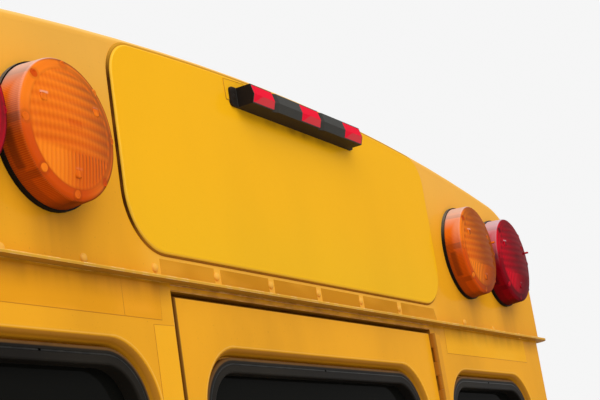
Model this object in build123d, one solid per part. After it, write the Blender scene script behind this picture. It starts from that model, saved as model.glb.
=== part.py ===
from build123d import *
import math
import os

os.makedirs("parts", exist_ok=True)

# Rear end section of a small school bus, in mm.
# X is to the right as seen from behind, Y is forward, Z is up.
# The origin is the centre of the floor crossmember's front face, where the section joins the body.

# body shell
rear_y = -300.0          # outer face of the rear wall and of the roof cap
joint_y = 0.0            # front plane, where the rest of the body begins
wall = 45.0              # whole wall, skin and lining together
body_half = 1003.0       # half width over the walls
corner_r = 16.0          # outer bend between rear and sides
rivet_z = 1525.0         # rivet line just over the drip rail
skirt_z = -250.0         # lower edge of the body

# floor and the bolts of the joint
channel_high = 120.0
channel_deep = 80.0
channel_sheet = 6.0
floor_thick = 15.0
floor_top = channel_high / 2 + floor_thick
joint_bolt_in = 158.0    # bolt centres in from the crossmember's ends
joint_bolt_z = 60.0
joint_bolt_r = 6.75

# roof cap
cap_over = 19.0          # how far the cap stands out over the walls
cap_under = 17.0         # cap's foot below the rivet line
crown_rise = 329.0       # crown above the rivet line
crown_r = 6125.0
shoulder_r = 192.0
cap_half = body_half + cap_over
cap_low = rivet_z - cap_under
crown_z = rivet_z + crown_rise

# drip rail between the cap and the walls
rail_out = 15.0
rail_thick = 2.5
rail_lip = 1.5           # turned up to hold the water
rail_lip_thick = 3.0
rail_z = cap_low - rail_thick
wall_top = rail_z

# roof bow and posts inside the joint
bow_in = 30.0
bow_deep = 50.0
post_in = 36.0

# round lamps
lens_r = 89.0
lens_taper = 1.8         # skirt draft
lens_deep = 27.0
lens_dome = 9.0
lens_wall = 3.0
lens_rim = 8.0
small_r = 54.0
small_deep = 14.0
base_rim = 2.3           # rubber base shows round the lens
lamp_base = 6.0
bowl_deep = 12.0
bowl_gap = 2.0
bowl_rim = 4.0
bowl_floor = 3.0
lamp_pitch = 195.0       # between the red and the amber lamp

# where the lamps sit
warning_z = rivet_z + 135.0
red_x = cap_half - 186.0
amber_x = red_x - lamp_pitch
stop_z = 640.0
tail_z = skirt_z + 140.0
turn_x = body_half - 123.0
stop_x = turn_x - lamp_pitch + 5.0
reversing_x = turn_x - 140.0
reflector_x = reversing_x - 180.0
reflector_r = 38.0
reflector_thick = 8.0
reflector_edge = 2.0

# sign plate on the cap, left blank
sign_half = amber_x - 148.0
sign_low = rivet_z + 18.0
sign_thick = 5.0
sign_low_r = 76.0
sign_top_r = 50.0
sign_edge = 14.0         # crown to the plate's upper edge
sign_bevel = 3.0

# identification light bar, three lenses
bar_half = 180.0
bar_high = 30.0
bar_low = crown_z - 63.0
bar_deep = 33.0
bar_under = 4.0          # lower bevel, inward
bar_chin = 13.5          # lower bevel, upward
bar_over = 4.5           # lean of the upper face
bar_lens_w = 61.0
bar_lens_pitch = 148.0
bar_lens_deep = 16.0
bar_lens_lip = 1.6       # housing left above and below a lens
bar_slope = 14.0         # sloped left end of a spacer
bar_slope_deep = 6.0
bar_tab = 18.0
bar_tab_thick = 4.0
bar_tab_r = 7.0
bar_screw_r = 2.6

# emergency door and its opening
door_half = 409.0
door_top = rivet_z - 36.0
door_low = floor_top + 20.0
door_thick = 38.0
door_edge_r = 3.0
door_gap = 6.0
open_half = door_half + door_gap
open_top = door_top + door_gap
open_low = door_low - door_gap
stop_wide = 16.0
stop_flange = 30.0
stop_thick = 6.0
seal_wide = 12.0
seal_in = 2.0
seal_gap = 0.3

# piano hinge
knuckle = 25.4
knuckle_gap = 0.5
knuckle_r = 5.0
knuckle_clear = 0.4      # knuckles to the skin
pin_r = 2.5
pin_fit = 0.05
leaf = 1.6
leaf_wide = 32.0
leaf_clear = 0.6         # leaf to the other leaf's knuckles
hinge_in = 2.0           # below the door's upper edge
hinge_foot = 10.0        # least height over the door's lower edge
hinge_x = door_half + knuckle_r
hinge_y = rear_y - knuckle_r - knuckle_clear

# windows: insets are from the mouth of the recess
win_top = rivet_z - 100.0
win_high = 560.0
win_r = 92.0
door_rail = 49.0         # door's edge to its window
side_win_in = open_half + 52.0
side_win_out = body_half - 106.0
mouth_r = 9.0
recess_deep = 18.0
recess_draft = 6.0
gasket_out = 8.0
gasket_in = 30.0
gasket_proud = 10.0
gasket_back = 8.0
gasket_edge = 3.0
strip_out = 16.0         # locking strip's groove
strip_in = 19.0
strip_deep = 2.5
cut_in = 18.0
glass_in = 24.0
glass_thick = 5.0

# door furniture
handle_x = -(door_half - 64.0)
handle_z = floor_top + 560.0
handle_plate_r = 34.0
handle_plate_thick = 5.0
handle_stem_r = 11.0
handle_stand = 22.0
handle_bar = 18.0
handle_long = 120.0
handle_edge = 5.0
case_wide = 70.0
case_high = 180.0
case_deep = 26.0
case_edge = 4.0
lever_rise = 40.0
lever_hub_r = 14.0
lever_hub = 12.0
lever_long = 170.0
lever_high = 18.0
lever_thick = 8.0
lever_edge = 3.0

# rub rails
seat_rail_z = stop_z - 185.0
floor_rail_z = 10.0
rub_high = 80.0
rub_out = 9.0
rub_groove = 10.0
rub_groove_deep = 4.0
rub_end = 6.0            # clear of the hinge leaf

# bumper and its brackets
bumper_half = body_half - 13.0
bumper_out = 140.0       # behind the rear wall
bumper_back = 45.0       # wrap past the rear wall
bumper_gap = 10.0
bumper_high = 240.0
bumper_r = 90.0
bumper_sheet = 6.0
bumper_swage = 6.0       # depth of the band pressed along its middle
bumper_swage_in = 36.0
bumper_swage_r = 2.5
bumper_flange = 50.0
bracket_x = 420.0
bracket_thick = 10.0
bracket_in = 30.0
bracket_root = 60.0


def save(node, shape):
    export_step(shape, "parts/" + node + ".step")


def rear_plane(x, z, y):
    return Plane(origin=(x, y, z), x_dir=(1, 0, 0), z_dir=(0, -1, 0))


def block(x0, x1, y0, y1, z0, z1):
    return Pos((x0 + x1) / 2, (y0 + y1) / 2, (z0 + z1) / 2) * Box(abs(x1 - x0), y1 - y0, z1 - z0)


def disc(x, z, y, r, thick):
    return extrude(rear_plane(x, z, y) * Circle(r), amount=thick)


def across(x, section, length):
    """Extrude a section drawn in Y and Z along X."""
    return extrude(Plane(origin=(x, 0, 0), x_dir=(0, 1, 0), z_dir=(1, 0, 0)) * section, amount=length)


def rear_edges(shape, y):
    return shape.edges().filter_by(lambda e: abs(e.center().Y - y) < 0.01)


def rear_plan(half, back_y, front_y, bend, z):
    """Plan of a piece that wraps the rear: square in front, round at both rear corners."""
    plan = Pos(0, (back_y + front_y) / 2, z) * Rectangle(2 * half, front_y - back_y)
    return fillet(plan.vertices().filter_by(lambda v: v.Y < back_y + 1), bend)


def arch(half, low, low_r, top_r, arc_r, top, y):
    """Outline with a flat foot, upright sides, round shoulders and a crowned top."""
    xs = half - top_r
    zk = top - arc_r
    zs = zk + math.sqrt((arc_r - top_r) ** 2 - xs ** 2)
    grow = arc_r / (arc_r - top_r)
    tx = xs * grow
    tz = zk + (zs - zk) * grow
    turn = math.atan2(tz - zs, tx - xs) / 2
    mx = xs + top_r * math.cos(turn)
    mz = zs + top_r * math.sin(turn)
    lines = Line((half, low + low_r), (half, zs))
    lines += ThreePointArc((half, zs), (mx, mz), (tx, tz))
    lines += ThreePointArc((tx, tz), (0, top), (-tx, tz))
    lines += ThreePointArc((-tx, tz), (-mx, mz), (-half, zs))
    lines += Line((-half, zs), (-half, low + low_r))
    if low_r > 0:
        bend = low_r * (1 - math.cos(math.pi / 4))
        lines += ThreePointArc((-half, low + low_r), (-half + bend, low + bend), (-half + low_r, low))
        lines += Line((-half + low_r, low), (half - low_r, low))
        lines += ThreePointArc((half - low_r, low), (half - bend, low + bend), (half, low + low_r))
    else:
        lines += Line((-half, low), (half, low))
    return rear_plane(0, 0, y) * make_face(lines)


def cap_arch(inset, low, y):
    return arch(cap_half - inset, low, 0, shoulder_r - inset, crown_r - inset, crown_z - inset, y)


# roof cap: one moulding with a crowned roof, round shoulders and a flat rear face
cap = extrude(cap_arch(0, cap_low, joint_y), amount=joint_y - rear_y)
cap = fillet(rear_edges(cap, rear_y).filter_by(lambda e: e.center().Z > cap_low + 1), corner_r)
cap -= extrude(cap_arch(wall, cap_low - 1, joint_y), amount=joint_y - rear_y - wall)
save("roof_cap", cap)

# drip rail: a thin shelf with its edge turned up, that follows the cap round both corners
def rail_plan(out, z):
    return rear_plan(cap_half + out, rear_y - out, joint_y, corner_r + out, z)


inner_half = body_half - wall
inner_y = rear_y + wall
rail = extrude(rail_plan(rail_out, rail_z), amount=rail_thick)
rail -= block(-inner_half, inner_half, inner_y, joint_y + 1, rail_z - 1, cap_low + 1)
lip = rail_plan(rail_out, rail_z) - rail_plan(rail_out - rail_lip_thick, rail_z)
rail += extrude(lip, amount=rail_thick + rail_lip)
save("drip_rail", rail)

# sign plate
plate = extrude(
    arch(sign_half, sign_low, sign_low_r, sign_top_r, crown_r - sign_edge, crown_z - sign_edge, rear_y),
    amount=sign_thick)
save("sign_plate", fillet(rear_edges(plate, rear_y - sign_thick), sign_bevel))

# light bar: a black housing with sloped spacers between three lenses
bar_y = rear_y - sign_thick
bar_front = bar_y - bar_deep
bar_fold = bar_low + bar_chin
bar_top = bar_low + bar_high


def bar_section(lower):
    """Housing's section, its front set in by a distance: flat floor, lower bevel, leaning face."""
    front = bar_front + lower
    return make_face(Polyline(
        (bar_y, bar_low), (front + bar_under, bar_low), (front, bar_fold),
        (front + bar_over, bar_top), (bar_y, bar_top), close=True))


def bar_face(z):
    """Depth of the housing's front at a height."""
    below = bar_under * max(0, bar_fold - z) / bar_chin
    above = bar_over * max(0, z - bar_fold) / (bar_top - bar_fold)
    return bar_front + below + above


def across_plane(x):
    return Plane(origin=(x, 0, 0), x_dir=(0, 1, 0), z_dir=(1, 0, 0))


lens_low = bar_low + bar_lens_lip
lens_high = bar_top - bar_lens_lip
lens_back = bar_front + bar_lens_deep
bar_lens_section = make_face(Polyline(
    (lens_back, lens_low), (bar_face(lens_low), lens_low), (bar_front, bar_fold),
    (bar_face(lens_high), lens_high), (lens_back, lens_high), close=True))
housing = across(-bar_half, bar_section(0), 2 * bar_half)
bar_lenses = Part()
for place in (-1, 0, 1):
    bar_lenses += across(place * bar_lens_pitch - bar_lens_w / 2, bar_lens_section, bar_lens_w)
for place in (-1, 0):
    near = place * bar_lens_pitch + bar_lens_w / 2
    slope = loft([
        across_plane(near) * bar_section(bar_slope_deep),
        across_plane(near + bar_slope) * bar_section(0)])
    housing -= across(near, bar_section(-1), bar_slope) - slope
for side in (-1, 1):
    end = side * bar_half
    tip = side * (bar_half + bar_tab)
    tab = block(end, tip, bar_y - bar_tab_thick, bar_y, bar_low, bar_top)
    tip_edges = tab.edges().filter_by(Axis.Y).filter_by(lambda e: abs(e.center().X - tip) < 0.01)
    screw = disc((end + tip) / 2, (bar_low + bar_top) / 2, bar_y, bar_screw_r, bar_tab_thick)
    housing += fillet(tip_edges, bar_tab_r) - screw
save("light_bar_housing", housing - bar_lenses)
save("light_bar_lenses", bar_lenses)


def lens_cup(x, z, y, r, deep):
    """Hollow lens turned about its own axis: a tapered skirt, a rounded rim and a domed face."""
    rim = r - lens_taper
    top = deep + lens_rim * 0.7

    def curve(t):
        skirt_x = rim - t
        face_x = rim - lens_rim - t * 0.4
        radius = (face_x ** 2 + lens_dome ** 2) / (2 * lens_dome)
        half_turn = math.asin(face_x / radius) / 2
        mid = (radius * math.sin(half_turn), top + lens_dome - t - radius * (1 - math.cos(half_turn)))
        skirt = Line((r - t, 0), (skirt_x, deep))
        bend = (skirt_x - lens_rim * 0.22, deep + (top - t - deep) * 0.66)
        turn = ThreePointArc((skirt_x, deep), bend, (face_x, top - t))
        return skirt + turn + ThreePointArc((face_x, top - t), mid, (0, top + lens_dome - t))

    foot = Line((r, 0), (r - lens_wall, 0))
    middle = Line((0, top + lens_dome), (0, top + lens_dome - lens_wall))
    profile = make_face(curve(0) + curve(lens_wall) + foot + middle)
    plane = Plane(origin=(x, y, z), x_dir=(1, 0, 0), z_dir=(0, 0, -1))
    return revolve(plane * profile, Axis((x, y, z), (0, -1, 0)), 360)


# lamps: node, sides (-1 left, 1 right), x from the middle, z, lens radius, skirt depth
lamps = (
    ("red_lens_left", (-1,), red_x, warning_z, lens_r, lens_deep),
    ("amber_lens_left", (-1,), amber_x, warning_z, lens_r, lens_deep),
    ("amber_lens_right", (1,), amber_x, warning_z, lens_r, lens_deep),
    ("red_lens_right", (1,), red_x, warning_z, lens_r, lens_deep),
    ("stop_lenses", (-1, 1), stop_x, stop_z, lens_r, lens_deep),
    ("turn_lenses", (-1, 1), turn_x, stop_z, lens_r, lens_deep),
    ("reversing_lenses", (-1, 1), reversing_x, tail_z, small_r, small_deep),
    ("tail_lenses", (-1, 1), turn_x, tail_z, small_r, small_deep),
)
bases = Part()
bowls = Part()
for name, sides, from_middle, z, r, deep in lamps:
    lenses = Part()
    lens_y = rear_y - lamp_base
    bowl_r = r - lens_wall - bowl_gap
    for side in sides:
        x = side * from_middle
        bases += disc(x, z, rear_y, r + base_rim, lamp_base)
        lenses += lens_cup(x, z, lens_y, r, deep)
        mouth = rear_plane(x, z, lens_y - bowl_deep)
        floor = mouth.offset(bowl_floor - bowl_deep)
        hollow = loft([mouth * Circle(bowl_r - bowl_rim), floor * Circle(r / 3)])
        bowls += disc(x, z, lens_y, bowl_r, bowl_deep) - hollow
    save(name, lenses)
save("lamp_gaskets", bases)
save("lamp_reflectors", bowls)

# reflex reflectors below the floor line
reflectors = Part()
for side in (-1, 1):
    button = disc(side * reflector_x, tail_z, rear_y, reflector_r, reflector_thick)
    reflectors += fillet(rear_edges(button, rear_y - reflector_thick), reflector_edge)
save("rear_reflectors", reflectors)


def window_outline(x, wide, inset, y):
    plane = rear_plane(x, win_top - win_high / 2, y)
    return plane * RectangleRounded(wide - 2 * inset, win_high - 2 * inset, win_r - inset)


def cut_window(panel, x, wide, thick):
    """Press the recess into a panel, cut the opening and round the bend where the skin turns in."""
    mouth = loft([
        window_outline(x, wide, 0, rear_y),
        window_outline(x, wide, recess_draft, rear_y + recess_deep)])
    panel = panel - mouth - extrude(window_outline(x, wide, cut_in, rear_y), amount=-thick)
    low = win_top - win_high - 1
    bend = rear_edges(panel, rear_y).filter_by(
        lambda e: abs(e.center().X - x) < wide / 2 + 1 and low < e.center().Z < win_top + 1)
    return fillet(bend, mouth_r)


def window_glass(x, wide, thick):
    middle = rear_y + (recess_deep + thick) / 2
    return extrude(window_outline(x, wide, glass_in, middle + glass_thick / 2), amount=glass_thick)


def window_gasket(x, wide, thick):
    """Rubber section that grips the panel's edge and the glass, with a groove for its locking strip."""
    land = rear_y + recess_deep
    back = rear_y + thick

    def ring(a, b, y, deep):
        return extrude(window_outline(x, wide, a, y) - window_outline(x, wide, b, y), amount=deep)

    front = ring(gasket_out, gasket_in, land, gasket_proud)
    front = fillet(rear_edges(front, land - gasket_proud), gasket_edge)
    front -= ring(strip_out, strip_in, land - gasket_proud + strip_deep, strip_deep)
    body = front + ring(cut_in, gasket_in, back, back - land)
    body += ring(gasket_out, gasket_in, back + gasket_back, gasket_back)
    return body - window_glass(x, wide, thick)


# walls beside the door: rear panel with its window, and the side's return
side_x = (side_win_in + side_win_out) / 2
side_wide = side_win_out - side_win_in
for side, tag in ((-1, "left"), (1, "right")):
    panel = block(side * open_half, side * body_half, rear_y, inner_y, skirt_z, wall_top)
    bend = panel.edges().filter_by(Axis.Z).filter_by(
        lambda e: abs(e.center().X - side * body_half) < 0.01 and e.center().Y < rear_y + 1)
    panel = cut_window(fillet(bend, corner_r), side * side_x, side_wide, wall)
    save("rear_wall_" + tag, panel)
    save("window_gasket_" + tag, window_gasket(side * side_x, side_wide, wall))
    save("window_glass_" + tag, window_glass(side * side_x, side_wide, wall))
    save("side_wall_" + tag, block(side * inner_half, side * body_half, inner_y, joint_y, skirt_z, wall_top))

# door frame: a ring behind the wall whose inner edge is the stop for the door's seal
frame = block(-open_half - stop_flange, open_half + stop_flange, inner_y, inner_y + stop_thick, floor_top,
              open_top + stop_flange)
frame -= block(-open_half + stop_wide, open_half - stop_wide, inner_y - 1, inner_y + stop_thick + 1,
               open_low + stop_wide, open_top - stop_wide)
save("door_frame", frame)
save("door_header", block(-open_half, open_half, rear_y, inner_y, open_top, wall_top))
save("lower_panel", block(-open_half, open_half, rear_y, inner_y, skirt_z, open_low))

# floor end and its crossmember, a channel open to the rear
save("floor_panel", block(-inner_half, inner_half, inner_y, joint_y, channel_high / 2, floor_top))
cross = block(-inner_half, inner_half, -channel_deep, joint_y, -channel_high / 2, channel_high / 2)
cross -= block(-inner_half - 1, inner_half + 1, -channel_deep - 1, -channel_sheet,
               -channel_high / 2 + channel_sheet, channel_high / 2 - channel_sheet)
for sx in (-1, 1):
    for sz in (-1, 1):
        cross -= disc(sx * (inner_half - joint_bolt_in), sz * joint_bolt_z / 2, joint_y, joint_bolt_r,
                      channel_sheet)
save("floor_crossmember", cross)

# roof bow inside the cap at the joint, and the posts that carry it
bow = extrude(cap_arch(wall, cap_low, joint_y), amount=bow_deep)
bow -= extrude(cap_arch(wall + bow_in, cap_low, joint_y), amount=bow_deep)
save("roof_bow", bow)
posts = Part()
for side in (-1, 1):
    posts += block(side * inner_half, side * (inner_half - post_in), -bow_deep, joint_y, floor_top, cap_low)
save("body_posts", posts)

# door: panel with its window, gasket and glass
door_win = 2 * (door_half - door_rail)
door = block(-door_half, door_half, rear_y, rear_y + door_thick, door_low, door_top)
door = fillet(rear_edges(door, rear_y), door_edge_r)
save("door_panel", cut_window(door, 0, door_win, door_thick))
save("door_window_gasket", window_gasket(0, door_win, door_thick))
save("door_window_glass", window_glass(0, door_win, door_thick))

# rubber seal round the door's inner face
seal_y = rear_y + door_thick
seal_deep = wall - door_thick - seal_gap
seal_half = door_half - seal_in
seal = block(-seal_half, seal_half, seal_y, seal_y + seal_deep, door_low + seal_in, door_top - seal_in)
seal -= block(-seal_half + seal_wide, seal_half - seal_wide, seal_y - 1, seal_y + seal_deep + 1,
              door_low + seal_in + seal_wide, door_top - seal_in - seal_wide)
save("door_seal", seal)

# piano hinge: even knuckles belong to the frame's leaf, odd ones to the door's
hinge_high = door_top - hinge_in
count = int((hinge_high - door_low - hinge_foot) / knuckle)
hinge_low = hinge_high - count * knuckle
leaf_x = hinge_x + knuckle_r + leaf_clear
leaf_end = leaf_x + leaf_wide
frame_leaf = block(leaf_x, leaf_end, rear_y - leaf, rear_y, hinge_low, hinge_high)
leaf_y = rear_y + door_edge_r
door_leaf = block(door_half, door_half + leaf, leaf_y, rear_y + leaf_wide, hinge_low, hinge_high)
ring = Circle(knuckle_r) - Circle(pin_r + pin_fit)
for step in range(count):
    z = hinge_low + step * knuckle + knuckle_gap / 2
    z1 = z + knuckle - knuckle_gap
    tube = extrude(Pos(hinge_x, hinge_y, z) * ring, amount=knuckle - knuckle_gap)
    bore = extrude(Pos(hinge_x, hinge_y, z) * Circle(pin_r + pin_fit), amount=knuckle - knuckle_gap)
    if step % 2 == 0:
        frame_leaf += tube + (block(hinge_x, leaf_x, rear_y - leaf, rear_y, z, z1) - bore)
    else:
        door_leaf += tube + (block(door_half, door_half + leaf, hinge_y, leaf_y, z, z1) - bore)
save("hinge_leaf_frame", frame_leaf)
save("hinge_leaf_door", door_leaf)
save("hinge_pin", extrude(Pos(hinge_x, hinge_y, hinge_low) * Circle(pin_r), amount=hinge_high - hinge_low))

# door furniture: outside handle on its plate, latch case and inside release lever
save("handle_plate", disc(handle_x, handle_z, rear_y, handle_plate_r, handle_plate_thick))
stem_y = rear_y - handle_plate_thick
bar_back = stem_y - handle_stand
grip = block(handle_x - handle_bar / 2, handle_x + handle_bar / 2, bar_back - handle_bar, bar_back,
             handle_z - handle_long, handle_z + handle_stem_r)
stem = disc(handle_x, handle_z, stem_y, handle_stem_r, handle_stand)
save("outside_handle", stem + fillet(grip.edges(), handle_edge))
case = block(handle_x - case_wide / 2, handle_x + case_wide / 2, seal_y, seal_y + case_deep,
             handle_z - case_high / 2, handle_z + case_high / 2)
save("latch_case", fillet(case.edges().filter_by(Axis.Z), case_edge))
lever_y = seal_y + case_deep
lever_z = handle_z + lever_rise
lever = block(handle_x, handle_x + lever_long, lever_y + lever_hub - lever_thick, lever_y + lever_hub,
              lever_z - lever_high / 2, lever_z + lever_high / 2)
lever = fillet(lever.edges().filter_by(Axis.X), lever_edge)
save("release_lever", lever + disc(handle_x, lever_z, lever_y + lever_hub, lever_hub_r, lever_hub))


# rub rails at seat and floor level, from the door round the corners to the joint
def rub_plan(out, z):
    return rear_plan(body_half + out, rear_y - out, joint_y, corner_r + out, z)


rails = Part()
rub_start = leaf_end + rub_end
for z in (seat_rail_z, floor_rail_z):
    rail = extrude(rub_plan(rub_out, z) - rub_plan(0, z), amount=rub_high)
    for place in (1, 2):
        low = z + place * rub_high / 3 - rub_groove / 2
        rail -= extrude(rub_plan(rub_out, low) - rub_plan(rub_out - rub_groove_deep, low), amount=rub_groove)
    rails += rail - block(-rub_start, rub_start, rear_y - rub_out, rear_y, z, z + rub_high)
save("rub_rails", rails)

# bumper: a channel whose ends turn forward, on two brackets under the crossmember
bumper_low = skirt_z - bumper_gap - bumper_high
bumper_y = rear_y - bumper_out


def bumper_plan(inset, z):
    return rear_plan(bumper_half - inset, bumper_y + inset, rear_y + bumper_back, bumper_r - inset, z)


band_low = bumper_low + bumper_swage_in
band_high = bumper_high - 2 * bumper_swage_in


def on_swage(edge):
    """Outer edges of the pressed band, along the rear and round both corners."""
    middle = edge.center()
    level = min(abs(middle.Z - band_low), abs(middle.Z - band_low - band_high)) < 0.01
    return level and middle.Y < rear_y + bumper_back - 1 and edge.bounding_box().size.Z < 0.01


bumper = extrude(bumper_plan(0, bumper_low), amount=bumper_high)
bumper -= extrude(bumper_plan(0, band_low) - bumper_plan(bumper_swage, band_low), amount=band_high)
bumper = fillet(bumper.edges().filter_by(on_swage), bumper_swage_r)
hollow_high = bumper_high - 2 * bumper_sheet
hollow = extrude(bumper_plan(bumper_sheet, bumper_low + bumper_sheet), amount=hollow_high)
back_low = band_low - bumper_sheet
back = bumper_plan(bumper_sheet, back_low) - bumper_plan(bumper_sheet + bumper_swage, back_low)
bumper -= hollow - extrude(back, amount=band_high + 2 * bumper_sheet)
bumper -= extrude(bumper_plan(bumper_flange, bumper_low), amount=bumper_high)
save("bumper", bumper)
bracket_y = bumper_y + bumper_swage + bumper_sheet
bracket_low = bumper_low + bracket_in
bracket_high = bumper_low + bumper_high - bracket_in
bracket = make_face(Polyline(
    (bracket_y, bracket_low), (bracket_y, bracket_high),
    (inner_y, bracket_high), (inner_y + bracket_root, -channel_high / 2),
    (joint_y, -channel_high / 2), (joint_y, -channel_high / 2 - bracket_root),
    (inner_y + bracket_root, bracket_low), close=True))
brackets = Part()
for side in (-1, 1):
    brackets += across(side * bracket_x - bracket_thick / 2, bracket, bracket_thick)
save("bumper_brackets", brackets)
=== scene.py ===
import bmesh
import bpy
import math
import numpy as np
from mathutils import Matrix, Vector


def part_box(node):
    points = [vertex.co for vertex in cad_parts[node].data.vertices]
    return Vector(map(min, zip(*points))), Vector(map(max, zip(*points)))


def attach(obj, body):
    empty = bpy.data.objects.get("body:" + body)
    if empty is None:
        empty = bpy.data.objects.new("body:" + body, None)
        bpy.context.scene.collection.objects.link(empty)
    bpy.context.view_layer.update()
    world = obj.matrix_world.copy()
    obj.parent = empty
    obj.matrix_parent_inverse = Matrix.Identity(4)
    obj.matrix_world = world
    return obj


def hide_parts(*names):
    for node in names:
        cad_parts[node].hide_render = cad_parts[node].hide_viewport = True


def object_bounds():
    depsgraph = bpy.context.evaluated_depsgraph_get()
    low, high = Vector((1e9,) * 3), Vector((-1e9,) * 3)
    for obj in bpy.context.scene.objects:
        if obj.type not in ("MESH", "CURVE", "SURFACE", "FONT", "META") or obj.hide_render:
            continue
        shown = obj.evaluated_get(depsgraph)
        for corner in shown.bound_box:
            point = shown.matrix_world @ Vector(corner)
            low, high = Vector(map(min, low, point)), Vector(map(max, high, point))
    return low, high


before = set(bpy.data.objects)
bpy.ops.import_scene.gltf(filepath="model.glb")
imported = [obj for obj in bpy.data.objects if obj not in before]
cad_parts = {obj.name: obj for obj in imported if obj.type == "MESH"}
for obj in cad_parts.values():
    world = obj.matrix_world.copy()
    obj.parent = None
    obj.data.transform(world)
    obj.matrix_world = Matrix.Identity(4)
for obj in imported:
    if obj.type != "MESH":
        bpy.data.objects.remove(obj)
cad_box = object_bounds()


# Roof cap: the rear dome of the body, one moulding with a crowned roof and round shoulders.
# Glass fibre, painted; years of rain have left a film and runs of dirt below each lamp.
def wire(tree, kind, sockets, **settings):
    """Add a shader node. Each named socket takes either a value or another node's output."""
    made = tree.nodes.new(kind)
    for key, value in settings.items():
        setattr(made, key, value)
    for key, value in sockets.items():
        if isinstance(value, bpy.types.NodeSocket):
            tree.links.new(value, made.inputs[key])
        else:
            made.inputs[key].default_value = value
    return made


def maths(tree, operation, first, second=0.0, third=0.0):
    """One Math node's value."""
    return wire(tree, "ShaderNodeMath", {0: first, 1: second, 2: third}, operation=operation).outputs[0]


def times(tree, product, *others):
    """The product of several values."""
    for value in others:
        product = maths(tree, "MULTIPLY", product, value)
    return product


def most(tree, highest, *others):
    """The highest of several values."""
    for value in others:
        highest = maths(tree, "MAXIMUM", highest, value)
    return highest


def unsigned(tree, value):
    """A value without its sign."""
    return maths(tree, "ABSOLUTE", value)


def ramp(tree, value, low, high, start=0.0, end=1.0):
    """A value taken from low..high to start..end on a smooth step, held at both ends."""
    return wire(tree, "ShaderNodeMapRange",
                {"Value": value, "From Min": low, "From Max": high, "To Min": start, "To Max": end},
                interpolation_type="SMOOTHSTEP").outputs["Result"]


def tint(tree, mask, under, over):
    """Lay one colour over another by a mask."""
    return wire(tree, "ShaderNodeMix", {0: mask, 6: under, 7: over}, data_type="RGBA").outputs[2]


def effect(name, takes, gives):
    """An empty node group with named inputs (name: (kind, value)) and outputs (name: kind)."""
    group = bpy.data.node_groups.new(name, "ShaderNodeTree")
    for key, (kind, value) in takes.items():
        group.interface.new_socket(key, in_out="INPUT", socket_type="NodeSocket" + kind).default_value = value
    for key, kind in gives.items():
        group.interface.new_socket(key, in_out="OUTPUT", socket_type="NodeSocket" + kind)
    return group, group.nodes.new("NodeGroupInput").outputs, group.nodes.new("NodeGroupOutput").inputs


def colour(red, green, blue):
    """A colour picked on the eight-bit scale, made linear."""
    channels = np.array((red, green, blue)) / 255
    linear = np.where(channels > 0.04045, ((channels + 0.055) / 1.055) ** 2.4, channels / 12.92)
    return (*(float(c) for c in linear), 1.0)


def object_place(tree):
    """The Object coordinates."""
    return tree.nodes.new("ShaderNodeTexCoord").outputs["Object"]


def spot(tree):
    """The X, Y and Z of the Object coordinates."""
    return wire(tree, "ShaderNodeSeparateXYZ", {0: object_place(tree)}).outputs


def facing(tree):
    """The X, Y and Z of the surface's own normal."""
    normal = tree.nodes.new("ShaderNodeNewGeometry").outputs["Normal"]
    return wire(tree, "ShaderNodeSeparateXYZ", {0: normal}).outputs


def cloud(tree, scale, detail=3.0, stretch=(1.0, 1.0, 1.0)):
    """Noise on Object coordinates, stretched along an axis where asked."""
    place = wire(tree, "ShaderNodeMapping", {"Vector": object_place(tree), "Scale": stretch}).outputs[0]
    return wire(tree, "ShaderNodeTexNoise", {"Vector": place, "Scale": scale, "Detail": detail}).outputs[0]


film, film_in, film_out = effect(
    "road_film",
    {"Colour": ("Color", (1, 1, 1, 1)), "Film": ("Color", (0.3, 0.2, 0.1, 1)), "Amount": ("Float", 0.3),
     "Gloss": ("Float", 0.3)},
    {"Colour": "Color", "Roughness": "Float"})
haze = times(film, ramp(film, cloud(film, 3.1, 5.0, (1, 1, 0.45)), 0.38, 0.8), film_in["Amount"])
specks = times(film, ramp(film, cloud(film, 260.0, 2.0), 0.66, 0.74), film_in["Amount"], 0.6)
dirt = maths(film, "ADD", haze, specks)
film.links.new(tint(film, dirt, film_in["Colour"], film_in["Film"]), film_out["Colour"])
film.links.new(maths(film, "MULTIPLY_ADD", dirt, 0.35, film_in["Gloss"]), film_out["Roughness"])

# Runs are dark streaks below a given top: dirt, and in some places painted shade.
run, run_in, run_out = effect(
    "dirt_and_shade_streak",
    {"Centre": ("Float", 0.0), "Top": ("Float", 0.0), "Half Width": ("Float", 0.1), "Length": ("Float", 0.2)},
    {"Mask": "Float"})
here = spot(run)
aside = unsigned(run, maths(run, "SUBTRACT", here["X"], run_in["Centre"]))
aside = maths(run, "DIVIDE", aside, run_in["Half Width"])
below = maths(run, "DIVIDE", maths(run, "SUBTRACT", run_in["Top"], here["Z"]), run_in["Length"])
streaks = ramp(run, cloud(run, 26.0, 3.0, (1, 1, 0.08)), 0.25, 0.8, 0.35, 1.0)
drained = times(run, ramp(run, below, 1.0, 0.05), ramp(run, below, -0.04, 0.02))
run.links.new(times(run, ramp(run, aside, 1.0, 0.0), drained, streaks), run_out["Mask"])

worn, worn_in, worn_out = effect(
    "edge_wear", {"Width": ("Float", 0.003), "Amount": ("Float", 0.5)}, {"Mask": "Float"})
rounded = wire(worn, "ShaderNodeBevel", {"Radius": worn_in["Width"]}, samples=4).outputs[0]
plain = worn.nodes.new("ShaderNodeNewGeometry").outputs["Normal"]
bend = wire(worn, "ShaderNodeVectorMath", {0: rounded, 1: plain}, operation="DOT_PRODUCT").outputs["Value"]
worn.links.new(times(worn, ramp(worn, bend, 0.995, 0.9), ramp(worn, cloud(worn, 55.0, 4.0), 0.42, 0.62),
                     worn_in["Amount"]), worn_out["Mask"])

school_yellow = colour(245, 170, 32)
lining_grey = colour(190, 190, 180)
grime_and_shade_brown = colour(112, 66, 20)
rubbed = colour(250, 205, 120)


def dress(material, *nodes):
    """Give CAD nodes this finish in place of their own."""
    for node in nodes:
        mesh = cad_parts[node].data
        mesh.materials.clear()
        mesh.materials.append(material)


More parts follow.
